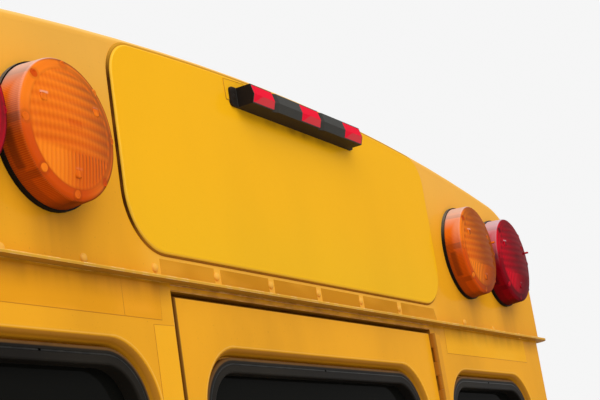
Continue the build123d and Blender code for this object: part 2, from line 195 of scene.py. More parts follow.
def finish(name, **sockets):
    """A material and its Principled shader, with constants set on the shader's own sockets."""
    material = bpy.data.materials.new(name)
    material.use_nodes = True
    shader = material.node_tree.nodes["Principled BSDF"]
    for key, value in sockets.items():
        shader.inputs[key.replace("_", " ")].default_value = value
    return material, material.node_tree, shader


def filmed(tree, shader, clean, dust, amount, gloss):
    """A colour under road film, which also gives the shader its roughness."""
    made = wire(tree, "ShaderNodeGroup", {"Colour": clean, "Film": dust, "Amount": amount, "Gloss": gloss},
                node_tree=film).outputs
    tree.links.new(made["Roughness"], shader.inputs["Roughness"])
    return made["Colour"]


def dirt_and_shade_runs(tree, shown, runs):
    """A colour with runs laid over it, some of dirt and some of painted shade: each has a centre, top, half
    width, length and strength.
    """
    for centre, high, half, length, strength in runs:
        place = {"Centre": centre, "Top": high, "Half Width": half, "Length": length}
        mark = wire(tree, "ShaderNodeGroup", place, node_tree=run).outputs["Mask"]
        shown = tint(tree, times(tree, mark, strength), shown, grime_and_shade_brown)
    return shown


def mottled(tree, patches, first, second):
    """One colour taken over to another in patches, given as a noise's scale and detail and its two limits."""
    scale, detail, low, high = patches
    return tint(tree, ramp(tree, cloud(tree, scale, detail), low, high), colour(*first), colour(*second))


def edge_mask(tree, width, amount):
    """Mask of the worn edges."""
    return wire(tree, "ShaderNodeGroup", {"Width": width, "Amount": amount}, node_tree=worn).outputs["Mask"]


def show(tree, shader, shown):
    """Let the shader show a colour."""
    tree.links.new(shown, shader.inputs["Base Color"])


def relief(tree, shader, strength, distance, height):
    """Raise the surface by a height, over the relief that the shader has so far."""
    bump = wire(tree, "ShaderNodeBump", {"Strength": strength, "Distance": distance, "Height": height})
    normal = shader.inputs["Normal"]
    if normal.is_linked:
        tree.links.new(normal.links[0].from_socket, bump.inputs["Normal"])
    tree.links.new(bump.outputs[0], normal)


def paint(name, top, runs=(), amount=0.3, gloss=0.26, wear=0.5, chip=rubbed, over=()):
    """Coach paint: top colour, film, runs of dirt and of painted shade, wear and orange peel. Each row of
    over lays a colour on the faces its mask picks out: sun-faded ones that also carry a painted sky
    highlight, recesses, gaps and undersides given painted shade, lips given a painted highlight, or the
    lining."""
    material, tree, shader = finish(name, Coat_Weight=0.13, Coat_Roughness=0.14, Specular_IOR_Level=0.0)
    shown = dirt_and_shade_runs(tree, filmed(tree, shader, top, grime_and_shade_brown, amount, gloss), runs)
    shown = tint(tree, edge_mask(tree, 0.002, wear), shown, chip)
    for mask, other in over:
        shown = tint(tree, mask(tree), shown, other)
    show(tree, shader, shown)
    relief(tree, shader, 0.35, 0.004, cloud(tree, 5.0, 1.0))
    relief(tree, shader, 0.15, 0.0003, cloud(tree, 420.0, 1.0))
    return material


cap_low, cap_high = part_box("roof_cap")
sign_low, sign_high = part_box("sign_plate")
amber_low, amber_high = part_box("amber_lens_right")
rear_y = cap_low.y
middle_z = cap_high.z - 0.65
lens_r = (amber_high.x - amber_low.x) / 2
amber_x = amber_high.x - lens_r
red_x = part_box("red_lens_right")[1].x - lens_r
warning_z = amber_high.z - lens_r


def under_cap(tree):
    """Mask of the cap's inner faces, which look forwards or back to the middle of the body."""
    look = facing(tree)
    here = spot(tree)
    rise = maths(tree, "SUBTRACT", here["Z"], middle_z)
    inwards = maths(tree, "MULTIPLY_ADD", look["X"], here["X"], times(tree, look["Z"], rise))
    return most(tree, maths(tree, "LESS_THAN", inwards, -0.08), maths(tree, "GREATER_THAN", look["Y"], 0.5))


def upturned_fade_and_highlight(tree):
    """Mask of the faces that look up, and fainter of the upper part of the rear: sun fading, and a painted
    sky highlight.
    """
    return most(tree, ramp(tree, facing(tree)["Z"], 0.02, 0.75, 0.0, 0.8),
                ramp(tree, spot(tree)["Z"], 1.64, 1.80, 0.0, 0.28))


def below_sign(tree):
    """Mask of the strip between the sign and the drip rail, which rain keeps clean."""
    here = spot(tree)
    between = ramp(tree, unsigned(tree, here["X"]), sign_high.x, sign_high.x - 0.08)
    return times(tree, between, ramp(tree, here["Z"], sign_low.z + 0.03, sign_low.z, 0.0, 0.42))


# Pale colour for sun fading, which also serves as a painted highlight of the sky on the faces that look up.
sun_fade_and_sky_highlight = colour(255, 206, 116)
rain_washed = colour(255, 196, 80)
lamp_runs = [(x, warning_z - lens_r * 0.8, 0.075, 0.17, 0.45) for x in (-red_x, -amber_x, amber_x, red_x)]
dress(paint("cap paint", school_yellow, lamp_runs,
            over=((upturned_fade_and_highlight, sun_fade_and_sky_highlight), (below_sign, rain_washed), (under_cap, lining_grey))), "roof_cap")


# Sign plate: a bent sheet with rolled edges, screwed to the cap and covered in reflective sheeting.
# It is left blank, and a bead of dark sealant runs round it, which also stands as painted shade for the
# shadow line at the plate's edge.
def solid(rings, round_trip=False):
    """A closed form from rows of points: each row is a closed ring, neighbouring rings are joined, and the
    end rings are capped, or joined to each other on a round trip."""
    rows, columns = rings.shape[:2]
    index = np.arange(rows * columns).reshape(rows, columns)
    if round_trip:
        index = np.vstack((index, index[:1]))
    index = np.hstack((index, index[:, :1]))
    quads = np.stack((index[:-1, :-1], index[:-1, 1:], index[1:, 1:], index[1:, :-1]), -1).reshape(-1, 4)
    ends = [] if round_trip else [index[0, :-1].tolist(), index[-1, :-1].tolist()]
    return rings.reshape(-1, 3), quads.tolist() + ends


def make(name, solids, material, body):
    """One piece of several closed forms: faces turned outwards, shaded smooth except over sharp edges."""
    sharp = math.radians(35.0)
    points = []
    faces = []
    start = 0
    for part_points, part_faces in solids:
        points.append(part_points)
        faces += [[start + corner for corner in face] for face in part_faces]
        start += len(part_points)
    mesh = bpy.data.meshes.new(name)
    mesh.from_pydata(np.concatenate(points).tolist(), [], faces)
    shape = bmesh.new()
    shape.from_mesh(mesh)
    bmesh.ops.recalc_face_normals(shape, faces=shape.faces)
    shape.to_mesh(mesh)
    shape.free()
    mesh.shade_smooth()
    mesh.set_sharp_from_angle(angle=sharp)
    mesh.materials.append(material)
    piece = bpy.data.objects.new(name, mesh)
    bpy.context.scene.collection.objects.link(piece)
    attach(piece, body)
    return piece


def arcs(table):
    """Points of an outline in X and Z, and its outward directions, from arcs one after another.
    Each row is centre X, centre Z, radius, start angle, end angle in degrees, and steps."""
    turns = [np.radians(np.linspace(start, end, steps + 1)) for _, _, _, start, end, steps in table]
    out = [np.stack((np.cos(t), np.sin(t)), -1) for t in turns]
    points = [np.array((x, z)) + radius * way for (x, z, radius, *_), way in zip(table, out)]
    return np.concatenate(points), np.concatenate(out)


def round_box(x, z, half_x, half_z, r, steps):
    """Outline of a rectangle with round corners."""
    in_x = half_x - r
    in_z = half_z - r
    quarters = ((1, 1, 0), (-1, 1, 90), (-1, -1, 180), (1, -1, 270))
    return arcs([(x + sx * in_x, z + sz * in_z, r, start, start + 90, steps) for sx, sz, start in quarters])


def carry(outline, section, y):
    """Carry a section along an outline: each of its points is so far out from the outline, and so far proud
    of the plane y."""
    points, out = outline
    away, proud = np.array(section).T
    grid = points[:, None, :] + out[:, None, :] * away[None, :, None]
    depth = np.broadcast_to(y - proud, grid.shape[:2])
    return np.stack((grid[..., 0], depth, grid[..., 1]), -1)


def bead(r, away):
    """Section of a bead: a half circle, its middle so far away from the outline, flat on the surface."""
    turns = np.linspace(0, math.pi, 8)
    return np.stack((away + r * np.cos(turns), r * np.sin(turns)), -1)


def cell_edges(tree, scale, randomness=1.0):
    """How far a place is from the nearest border between cells."""
    return wire(tree, "ShaderNodeTexVoronoi",
                {"Vector": object_place(tree), "Scale": scale, "Randomness": randomness},
                feature="DISTANCE_TO_EDGE").outputs[0]


sheeting, tree, shader = finish("sign sheeting", Coat_Weight=0.09, Coat_Roughness=0.14,
                                Specular_IOR_Level=0.0)
gold = colour(252, 184, 24)
low_gold = colour(246, 186, 28)
rim_highlight_gold = colour(255, 206, 70)
under_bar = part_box("light_bar_housing")[0].z - 0.0005
fade = ramp(tree, maths(tree, "MULTIPLY_ADD", cloud(tree, 2.0), 0.25, spot(tree)["Z"]), 1.62, 1.86)
shown = tint(tree, fade, low_gold, gold)
shown = tint(tree, ramp(tree, cell_edges(tree, 520.0), 0.06, 0.0, 0.0, 0.05), shown, grime_and_shade_brown)
# The rolled rim is lightened as a painted highlight.
shown = tint(tree, ramp(tree, facing(tree)["Y"], -0.985, -0.90, 0.0, 0.6), shown, rim_highlight_gold)
# A short dark run just under the light bar is a painted shadow of the bar.
shown = dirt_and_shade_runs(tree, shown, ((0.0, under_bar, 0.215, 0.016, 0.75),))
show(tree, shader, filmed(tree, shader, shown, grime_and_shade_brown, 0.08, 0.22))
relief(tree, shader, 0.2, 0.002, cloud(tree, 9.0, 1.0))
dress(sheeting, "sign_plate")

crown_r = 6.125
sign_foot_r = 0.076
sign_top_r = 0.050
sign_crown_r = crown_r - (cap_high.z - sign_high.z)
crown_centre = sign_high.z - sign_crown_r
top_x = sign_high.x - sign_top_r
top_z = crown_centre + math.sqrt((sign_crown_r - sign_top_r) ** 2 - top_x ** 2)
foot_x = sign_high.x - sign_foot_r
foot_z = sign_low.z + sign_foot_r
lean = math.degrees(math.atan2(top_z - crown_centre, top_x))
sign_outline = arcs([
    (0, crown_centre, sign_crown_r, lean, 180 - lean, 40),
    (-top_x, top_z, sign_top_r, 180 - lean, 180, 10),
    (-foot_x, foot_z, sign_foot_r, 180, 270, 14),
    (foot_x, foot_z, sign_foot_r, 270, 360, 14),
    (top_x, top_z, sign_top_r, 0, lean, 10)])
sealant, tree, shader = finish("sealant", Roughness=0.6, Specular_IOR_Level=0.0)
# The bead's dark brown is painted shade as well as sealant: it stands for the shadow line in the gap at the
# plate's edge, and turns lighter near the top and the bottom, where that shade is weaker.
height = spot(tree)["Z"]
shown = mottled(tree, (30.0, 4.0, 0.35, 0.7), (58, 30, 8), (100, 58, 16))
shown = tint(tree, ramp(tree, height, 1.765, 1.825, 0.0, 0.85), shown, colour(222, 160, 50))
shown = tint(tree, ramp(tree, height, 1.58, 1.55, 0.0, 0.65), shown, colour(186, 124, 38))
show(tree, shader, shown)
rings = carry(sign_outline, bead(0.0029, 0.0017), rear_y + 0.0005)
along = sign_outline[0][:, None, :]
thin = np.interp(along[..., 1], (sign_low.z, sign_low.z + 0.06), (0.6, 1.0))[..., None]
rings[..., ::2] = along + (rings[..., ::2] - along) * thin
make("sign_sealant_and_shadow_line", [solid(rings, True)], sealant, "shell")


# Cap rivets and tape: domed rivets hold the cap to the rail every six inches or so, painted over.
# Strips of reflective tape are cut to lie between them over the door.
def turned(place, out, profile, steps=24):
    """Rings of a form turned about an axis: each profile point is a radius and a height along the axis."""
    axis = np.array(out, float)
    side = np.array((0.0, 0.0, 1.0)) if abs(axis[2]) < 0.5 else np.array((1.0, 0.0, 0.0))
    across = np.cross(side, axis)
    turn = np.linspace(0, 2 * math.pi, steps, endpoint=False)
    ring = np.cos(turn)[:, None] * across + np.sin(turn)[:, None] * side
    radius, height = np.array(profile).T
    return np.array(place) + radius[:, None, None] * ring + height[:, None, None] * axis


def domed(r, high):
    """Profile of a domed head: a quarter ellipse, from just under the surface to its top."""
    turns = np.linspace(0, math.pi / 2 * 0.97, 6)
    return np.vstack(((r, -0.0006), np.stack((r * np.cos(turns), high * np.sin(turns)), -1)))


rear = (0, -1, 0)
rail_low, rail_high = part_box("drip_rail")
rivet_z = rail_high.z + 0.0175
rivet_pitch = 0.148
fifth_drop = 0.0115
rivet_head = domed(0.0063, 0.0035)
last_rivet = 6
under_tape = 3
seen = [k for k in range(-last_rivet, last_rivet + 1) if k != under_tape]
places = [(rivet_pitch * k, rear_y, rivet_z - fifth_drop * (k / 5) ** 2) for k in seen]
rivets = [solid(turned(place, rear, rivet_head)) for place in places]
make("cap_rivets", rivets, paint("rubbed paint", colour(250, 186, 74), wear=0.9), "shell")

lattice, lattice_in, lattice_out = effect(
    "prism_lattice", {"Pitch": ("Float", 0.003)}, {"Lines": "Float", "Cells": "Float"})
here = spot(lattice)
lines = []
for slope in (0.9, -0.9):
    along = maths(lattice, "MULTIPLY_ADD", here["Z"], slope, here["X"])
    along = maths(lattice, "FRACT", maths(lattice, "DIVIDE", along, lattice_in["Pitch"]))
    lines.append(unsigned(lattice, maths(lattice, "SUBTRACT", along, 0.5)))
lattice.links.new(ramp(lattice, most(lattice, *lines), 0.40, 0.5), lattice_out["Lines"])
lattice.links.new(times(lattice, *lines), lattice_out["Cells"])


def tape(name, top, glow, runs=()):
    """Reflective tape: a clear skin over a lattice of prisms, which deepens and lights in patches. Runs of
    dirt and painted shade are given as for paint."""
    material, tree, shader = finish(name, Coat_Weight=0.05, Coat_Roughness=0.05, Roughness=0.3,
                                    Specular_IOR_Level=0.0)
    prisms = wire(tree, "ShaderNodeGroup", {"Pitch": 0.0034}, node_tree=lattice).outputs
    shown = tint(tree, ramp(tree, cloud(tree, 7.0, 2.0, (1, 1, 2.5)), 0.45, 0.75), top, glow)
    shown = tint(tree, times(tree, prisms["Lines"], 0.10), shown, grime_and_shade_brown)
    show(tree, shader, dirt_and_shade_runs(tree, filmed(tree, shader, shown, grime_and_shade_brown, 0.15, 0.28), runs))
    relief(tree, shader, 0.3, 0.0005, prisms["Cells"])
    return material


def plate(outline, y, proud, edge=0.0):
    """Rings of a thin plate on the plane y, as proud as given, with its front edge bevelled."""
    return carry(outline, ((0, -0.0003), (0, proud - edge), (-edge, proud)), y).transpose(1, 0, 2)


def corners(table):
    """Outline through plain corners, in X and Z, with directions out from its middle."""
    points = np.array(table, float)
    return points, np.sign(points - points.mean(0))


tape_thick = 0.0004
tape_low = rail_high.z - 0.001
tape_high = rail_high.z + 0.0265
after_rivet = 0.0120
before_rivet = 0.0050
first_start = 0.0135
last_end = 0.0060
last_slant = 0.011
each_side = 3
strips = []
for k in range(-each_side, each_side):
    last = k == each_side - 1
    left = rivet_pitch * k + (first_start if k == -each_side else after_rivet)
    right = rivet_pitch * (k + 1) + (last_end if last else -before_rivet)
    slant = last_slant if last else 0.0
    outline = corners([(left, tape_low), (right + slant, tape_low), (right, tape_high), (left, tape_high)])
    strips.append(solid(plate(outline, rear_y, tape_thick)))
header_tape = tape("header tape", colour(208, 140, 28), colour(230, 160, 44))
make("header_tape", strips, header_tape, "shell")


# Drip rail: a thin steel shelf between the cap and the walls, with its edge turned up to hold the water.
# Painted with the body; the edge is rubbed pale, the underside and the foot of the edge are painted brown as
# shade, and sealant shows below it.
def rail_under_shade(tree):
    """Mask of the painted shade on the faces that look down and on the lower part of the edge."""
    return most(tree, ramp(tree, facing(tree)["Z"], -0.3, -0.8, 0.0, 0.6),
                ramp(tree, spot(tree)["Z"], rail_low.z + 0.0036, rail_low.z + 0.0022, 0.0, 0.35))


dress(paint("rail paint", colour(252, 188, 64), wear=1.0, chip=colour(255, 220, 150),
            over=((rail_under_shade, colour(96, 54, 8)),)), "drip_rail")
wall_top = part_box("rear_wall_left")[1].z
header_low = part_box("door_header")[0].z
pale_sealant, tree, shader = finish("pale sealant", Roughness=0.5, Specular_IOR_Level=0.1)
show(tree, shader, mottled(tree, (40.0, 4.0, 0.4, 0.65), (176, 116, 46), (206, 150, 74)))


def squeezed_bead(z, r, phase):
    """A round bead along X, whose height and radius waver as sines of the way along."""
    half = 0.414
    reach = np.linspace(-half, half, 90)[:, None]
    turn = np.linspace(0, 2 * math.pi, 8, endpoint=False)
    jog = np.sin(reach * 61.0 + phase) * 0.00015 + np.sin(reach * 23.0 + 1.0 + phase) * 0.0002
    bead_r = r + 0.0002 * np.sin(reach * 40.0 + phase)
    along = np.broadcast_to(reach, (reach.size, turn.size))
    proud = rear_y - 0.0001 + bead_r * np.cos(turn)
    return solid(np.stack((along, proud, z + jog + bead_r * np.sin(turn)), -1))


beads = [squeezed_bead(wall_top - 0.0022, 0.0010, 0.0), squeezed_bead(header_low + 0.0010, 0.0008, 2.0)]
make("rail_sealant", beads, pale_sealant, "shell")


# Lamps: seven-inch warning, stop and turn lamps, and smaller ones below, on rubber bases with bright bowls.
# Acrylic lenses: bands of prisms over a fluted foot, a plain ring with eight screw posts, a ribbed skirt.
# Sizes in the group are shares of the lens's radius, and its depth runs from the skirt's foot to the rim.
def hypotenuse(tree, first, second):
    """The length of the way that is so far one way and so far the other."""
    squares = [maths(tree, "POWER", value, 2.0) for value in (first, second)]
    return maths(tree, "SQRT", maths(tree, "ADD", *squares))


def blend(tree, share, first, second):
    """One value taken over to another by a share."""
    return wire(tree, "ShaderNodeMix", {0: share, 2: first, 3: second}).outputs[0]


full_turn = 2 * math.pi
post_count = 8
rib_count = 210
post_share = 0.895
band_pitch = 0.144
band_shift = 0.010
flute_pitch = 0.0764
field_share = 0.82
foot_level = -0.34
nub_share = 0.63
nub_turns = np.radians((30, 150, 270))
# Strength of the painted glint above each nub.
nub_glint_strength = (0.08, 0.40, 0.05)
marks, marks_in, marks_out = effect(
    "lens_marks", {"Plane": ("Vector", (0, 0, 0)), "Depth": ("Float", 0.0)},
    {"Height": "Float", "Light": "Float", "Dark": "Float", "Haze": "Float"})

# Where a point lies: along the radius, round it, and from the nearest post.
plane = wire(marks, "ShaderNodeSeparateXYZ", {0: marks_in["Plane"]}).outputs
across = plane["X"]
level = plane["Y"]
depth = marks_in["Depth"]
share = hypotenuse(marks, across, level)
angle = maths(marks, "ARCTAN2", level, across)
eighth = maths(marks, "FRACT", maths(marks, "MULTIPLY_ADD", angle, post_count / full_turn, 0.5))
turn = times(marks, maths(marks, "SUBTRACT", eighth, 0.5), full_turn / post_count)
beside = unsigned(marks, times(marks, share, maths(marks, "SINE", turn)))
along = maths(marks, "MULTIPLY_ADD", share, maths(marks, "COSINE", turn), -post_share)
post = hypotenuse(marks, beside, along)
disc = ramp(marks, post, 0.066, 0.054)
halo = times(marks, ramp(marks, post, 0.120, 0.070), ramp(marks, post, 0.050, 0.066))
field = ramp(marks, share, 0.835, 0.812)
skirt = ramp(marks, share, 0.958, 0.975)
foot = ramp(marks, maths(marks, "MULTIPLY_ADD", across, 0.10, level), -0.32, -0.40)
band = maths(marks, "COSINE", times(marks, maths(marks, "ADD", level, band_shift), full_turn / band_pitch))
flute = maths(marks, "COSINE", times(marks, across, full_turn / flute_pitch))
rib = maths(marks, "SINE", times(marks, angle, rib_count))

# Light and dim: banded prisms over flutes, the plain ring with its posts, and the ribs of the skirt. Painted
# light is mixed in: prisms, ring and skirt grow lighter towards the top, the flutes towards the left and the
# ring at its lower right, and each post's disc is painted lit or shaded by its place round the lens.
prisms = maths(marks, "MULTIPLY_ADD", level, 0.24, 0.48)
prisms = maths(marks, "ADD", prisms, maths(marks, "MULTIPLY_ADD", band, 0.13, times(marks, flute, 0.08)))
pad = most(marks, maths(marks, "DIVIDE", unsigned(marks, across), 0.14),
           maths(marks, "DIVIDE", unsigned(marks, maths(marks, "SUBTRACT", level, 0.035)), 0.062))
prisms = maths(marks, "MULTIPLY_ADD", ramp(marks, pad, 1.06, 0.94), -0.16, prisms)
flutes = maths(marks, "MULTIPLY_ADD", ramp(marks, across, 0.15, -0.45), 0.62,
               maths(marks, "MULTIPLY_ADD", flute, 0.12, 0.26))
ring = maths(marks, "MULTIPLY_ADD", ramp(marks, level, -0.25, 0.35), 0.72, 0.02)
lower_right = times(marks, ramp(marks, across, 0.1, 0.6), ramp(marks, level, 0.1, -0.3))
ring = maths(marks, "MULTIPLY_ADD", lower_right, 0.4, ring)
tone = maths(marks, "MULTIPLY_ADD", maths(marks, "SINE", times(marks, angle, 2.0)), 0.55, 0.40)
ring = blend(marks, times(marks, disc, 0.85), ring, tone)
side = maths(marks, "MULTIPLY_ADD", ramp(marks, level, -0.1, 0.5), 0.45,
             maths(marks, "MULTIPLY_ADD", rib, 0.26, 0.14))
light = blend(marks, field, blend(marks, skirt, ring, side), blend(marks, foot, prisms, flutes))
marks.links.new(light, marks_out["Light"])

# Height: flutes in the field and ribs on the skirt.
fluted = times(marks, maths(marks, "ADD", flute, 1.0), field)
ribbed = maths(marks, "MULTIPLY_ADD", maths(marks, "ADD", rib, 1.0), skirt, fluted)
marks.links.new(ribbed, marks_out["Height"])

# Dark: pillars below the posts, a line inside the ring, painted shade inside the lamp over the lower skirt,
# darkest near its foot, and darker panes at the lower left, painted shade on the moulding inside.
pillar = times(marks, skirt, ramp(marks, beside, 0.075, 0.055))
inner = times(marks, ramp(marks, share, 0.795, 0.815), ramp(marks, share, 0.85, 0.83))
under = times(marks, skirt, ramp(marks, level, 0.34, -0.06),
              maths(marks, "MULTIPLY_ADD", ramp(marks, depth, 0.45, 0.6), -0.26, 0.52))
pane = times(marks, skirt, ramp(marks, beside, 0.065, 0.135), ramp(marks, depth, 0.02, 0.30),
             ramp(marks, depth, 0.78, 0.50, 0.30, 1.0), ramp(marks, level, 0.02, -0.10),
             ramp(marks, level, -0.72, -0.60), ramp(marks, across, 0.1, -0.1, 0.3, 0.78))
marks.links.new(most(marks, times(marks, pillar, 0.55), times(marks, halo, 0.22), under, pane,
                     times(marks, inner, 0.12)), marks_out["Dark"])

# Painted highlights: a pale painted reflection on the top of the skirt, a highlight along the rim's lip, and
# a glint above each nub.
skirt_top_reflection = times(marks, skirt, ramp(marks, level, 0.35, 0.9, 0.0, 0.8))
rim_lip_highlight = times(marks, ramp(marks, share, 0.955, 0.972), ramp(marks, share, 0.992, 0.982),
            ramp(marks, level, -0.3, 0.8, 0.0, 0.35))
haze = most(marks, skirt_top_reflection, rim_lip_highlight)
for nub, glint_strength in zip(nub_turns, nub_glint_strength):
    wide = unsigned(marks, maths(marks, "SUBTRACT", across, nub_share * math.cos(nub) + 0.02))
    high = unsigned(marks, maths(marks, "SUBTRACT", level, nub_share * math.sin(nub) + 0.072))
    nub_glint = times(marks, ramp(marks, wide, 0.085, 0.05), ramp(marks, high, 0.022, 0.008), glint_strength)
    haze = most(marks, haze, nub_glint)
marks.links.new(haze, marks_out["Haze"])
lamp_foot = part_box("amber_lens_left")[1].y
skirt_high = 0.027


def lens_finish(name, deep, bright, dim, pale, clear=0.0):
    """Coloured acrylic: the moulding inside shows as light and dim marks, much of them painted light and
    shade, and it deepens where it is seen aslant. Painted highlights are laid over it, with a pale painted
    reflection on the top of the skirt."""
    material, tree, shader = finish(name, Roughness=0.2, IOR=1.2, Transmission_Weight=clear, Coat_Weight=0.1,
                                    Coat_Roughness=0.03, Specular_IOR_Level=0.0)
    plane = wire(tree, "ShaderNodeUVMap", {}, uv_map="lens plane").outputs[0]
    depth = maths(tree, "DIVIDE", maths(tree, "SUBTRACT", lamp_foot, spot(tree)["Y"]), skirt_high)
    made = wire(tree, "ShaderNodeGroup", {"Plane": plane, "Depth": depth}, node_tree=marks).outputs
    shown = tint(tree, made["Light"], deep, bright)
    aslant = wire(tree, "ShaderNodeLayerWeight", {"Blend": 0.5}).outputs["Facing"]
    shown = tint(tree, ramp(tree, aslant, 0.44, 0.70, 0.0, 0.68), shown, dim)
    shown = tint(tree, made["Dark"], shown, dim)
    show(tree, shader, tint(tree, made["Haze"], shown, pale))
    relief(tree, shader, 0.3, 0.0003, made["Height"])
    return material


taper = 0.0018
rim_wide = 0.008
rim_high = 0.0056
dome = 0.009
wall = 0.003


def face_height(reach, r, top):
    """Height of the lens's face, part of a ball that rises by the dome in the middle."""
    face_r = r - taper - rim_wide
    ball = (face_r ** 2 + dome ** 2) / (2 * dome)
    return top + dome - (ball - np.sqrt(ball ** 2 - reach ** 2))


def lens_body(x, z, foot_y, r, top):
    """Lens turned about its axis: tapered skirt, rim rounded as a quarter ellipse, domed face. Bands of
    prisms are a cosine of the height above the middle and flutes a cosine of the way across, both faded out
    at the ring."""
    face_r = r - taper - rim_wide
    skirt = np.stack((np.linspace(r, r - taper, 8), np.linspace(0, top - rim_high, 8)), -1)
    turns = np.linspace(0.12, math.pi / 2, 9)
    rim = np.stack((face_r + rim_wide * np.cos(turns), top - rim_high + rim_high * np.sin(turns)), -1)
    reach = np.linspace(face_r * 0.985, 0.0008, 60)
    outside = np.vstack((skirt, rim, np.stack((reach, face_height(reach, r, top)), -1)))
    inside = np.maximum(outside[::4] - wall, (0.0006, 0.0))
    rings = turned((x, foot_y, z), rear, np.vstack((outside[::-1], inside)), 216)
    front = rings[:len(outside)]
    dx = (front[..., 0] - x) / r
    dz = (front[..., 2] - z) / r
    fade = np.clip((field_share - np.hypot(dx, dz)) / 0.05, 0, 1)
    lower = np.clip((foot_level - dz) / 0.03, 0, 1)
    bands = np.cos((dz + band_shift) * full_turn / band_pitch)
    flutes = np.cos(dx * full_turn / flute_pitch)
    front[..., 1] += 0.0003 * fade * (1 - bands * (1 - lower) - flutes * lower)
    return solid(rings)


def screw_post(x, z, foot_y, r, top, turn):
    """A post under the ring, turned about its own axis, with its screw hole sunk in the top."""
    post_r = 0.060 * r
    post = ((post_r, 0.001), (post_r, top - 0.0012), (post_r * 0.9, top - 0.0002),
            (post_r * 0.5, top + 0.0001), (post_r * 0.42, top - 0.0007), (post_r * 0.05, top - 0.0009))
    place = (x + post_share * r * math.cos(turn), foot_y, z + post_share * r * math.sin(turn))
    return solid(turned(place, rear, post, 18))


def face_nub(x, z, foot_y, r, top, turn):
    """A small block on the face: a rectangle with round corners, drawn in at its bevelled front edge."""
    away = nub_share * r
    over = face_height(away, r, top)
    middle = (x + away * math.cos(turn), z + away * math.sin(turn))
    outline = round_box(*middle, 0.062 * r, 0.058 * r, 0.04 * r, 4)
    nub = ((0, over - 0.002), (0, over), (-0.001, over + 0.0011), (-0.003, over + 0.0013))
    return solid(carry(outline, nub, foot_y).transpose(1, 0, 2))


def finger_tab(x, z, foot_y, r, top):
    """The thin tab on the ring by which the lens is turned."""
    away = 0.93 * r
    turn = math.radians(16)
    middle = (x + away * math.cos(turn), z + away * math.sin(turn))
    outline = round_box(*middle, 0.0030, 0.0017, 0.0007, 3)
    tab = ((0, top - wall), (0, top + 0.0055), (-0.0006, top + 0.0062))
    return solid(carry(outline, tab, foot_y).transpose(1, 0, 2))


def map_lens(mesh, places, r):
    """A map with each lens's middle at 0 and its radius as 1, for the marks."""
    where = np.empty(len(mesh.vertices) * 3)
    mesh.vertices.foreach_get("co", where)
    where = where.reshape(-1, 3)
    middle = np.array(places)
    nearest = np.argmin(np.hypot(where[:, None, 0] - middle[:, 0], where[:, None, 2] - middle[:, 1]), 1)
    flat = (where[:, (0, 2)] - middle[nearest]) / r
    corner_of = np.empty(len(mesh.loops), int)
    mesh.loops.foreach_get("vertex_index", corner_of)
    mesh.uv_layers.new(name="lens plane").data.foreach_set("uv", flat[corner_of].ravel())


def lens(node, material, tabbed):
    """The detailed lenses of one node, in place of its plain ones."""
    low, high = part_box(node)
    r = (high.z - low.z) / 2
    z = (high.z + low.z) / 2
    xs = (low.x + r, high.x - r) if high.x - low.x > 3 * r else ((low.x + high.x) / 2,)
    top = high.y - low.y - dome
    post_turns = np.linspace(0, full_turn, post_count, endpoint=False)
    solids = []
    for x in xs:
        solids.append(lens_body(x, z, high.y, r, top))
        solids += [screw_post(x, z, high.y, r, top, turn) for turn in post_turns]
        solids += [face_nub(x, z, high.y, r, top, turn) for turn in nub_turns]
        if tabbed:
            solids.append(finger_tab(x, z, high.y, r, top))
    piece = make("detailed_" + node, solids, material, "shell")
    map_lens(piece.data, [(x, z) for x in xs], r)
    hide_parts(node)


amber = lens_finish("amber lens", colour(210, 76, 8), colour(255, 136, 28), colour(100, 44, 14),
                    colour(246, 210, 194))
red = lens_finish("red lens", colour(124, 6, 20), colour(226, 12, 38), colour(56, 6, 14),
                  colour(236, 206, 216))
clear = lens_finish("clear lens", colour(178, 184, 188), colour(238, 242, 244), colour(98, 102, 106),
                    colour(240, 242, 244), 0.6)
for node, material, slot, tabbed in (
        ("red_lens_left", red, "red_lens", False), ("red_lens_right", red, "red_lens", True),
        ("amber_lens_left", amber, "amber_lens", False), ("amber_lens_right", amber, "amber_lens", True),
        ("stop_lenses", red, "red_lens", False), ("turn_lenses", amber, "amber_lens", False),
        ("reversing_lenses", clear, "clear_lens", False), ("tail_lenses", red, "red_lens", False)):
    lens(node, material, tabbed)

rubber_black = colour(26, 24, 21)
rubber_dust = colour(80, 72, 58)
rubber, tree, shader = finish("rubber", Specular_IOR_Level=0.03)
show(tree, shader, filmed(tree, shader, rubber_black, rubber_dust, 0.18, 0.42))
relief(tree, shader, 0.2, 0.0004, cloud(tree, 600.0, 2.0))
dress(rubber, "door_seal")
base_rubber, tree, shader = finish("lamp base rubber", Roughness=0.5, Specular_IOR_Level=0.03)
patches = ramp(tree, cloud(tree, 40.0), 0.1, 0.6, 0.6, 0.9)
# Faces that look up turn grey in patches: dust, and a painted highlight.
dust_and_top_highlight = times(tree, ramp(tree, facing(tree)["Z"], 0.1, 0.8), patches)
show(tree, shader, tint(tree, dust_and_top_highlight, rubber_black, colour(118, 116, 108)))
dress(base_rubber, "lamp_gaskets")
bowl, tree, shader = finish("bright bowl", Metallic=1.0, Roughness=0.28)
show(tree, shader, mottled(tree, (60.0, 3.0, 0.4, 0.8), (214, 214, 212), (150, 148, 142)))
dress(bowl, "lamp_reflectors")


# Identification light bar: a black moulded housing with three red lenses, screwed to the sign by its tabs.
# Weathered plastic, darker on its sides and tabs and browner on the faces that look down; a scrap of an older
# patch shows behind its left end.
housing_low, housing_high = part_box("light_bar_housing")
bar_low, bar_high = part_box("light_bar_lenses")
plastic, tree, shader = finish("black plastic", Specular_IOR_Level=0.02)
look = facing(tree)
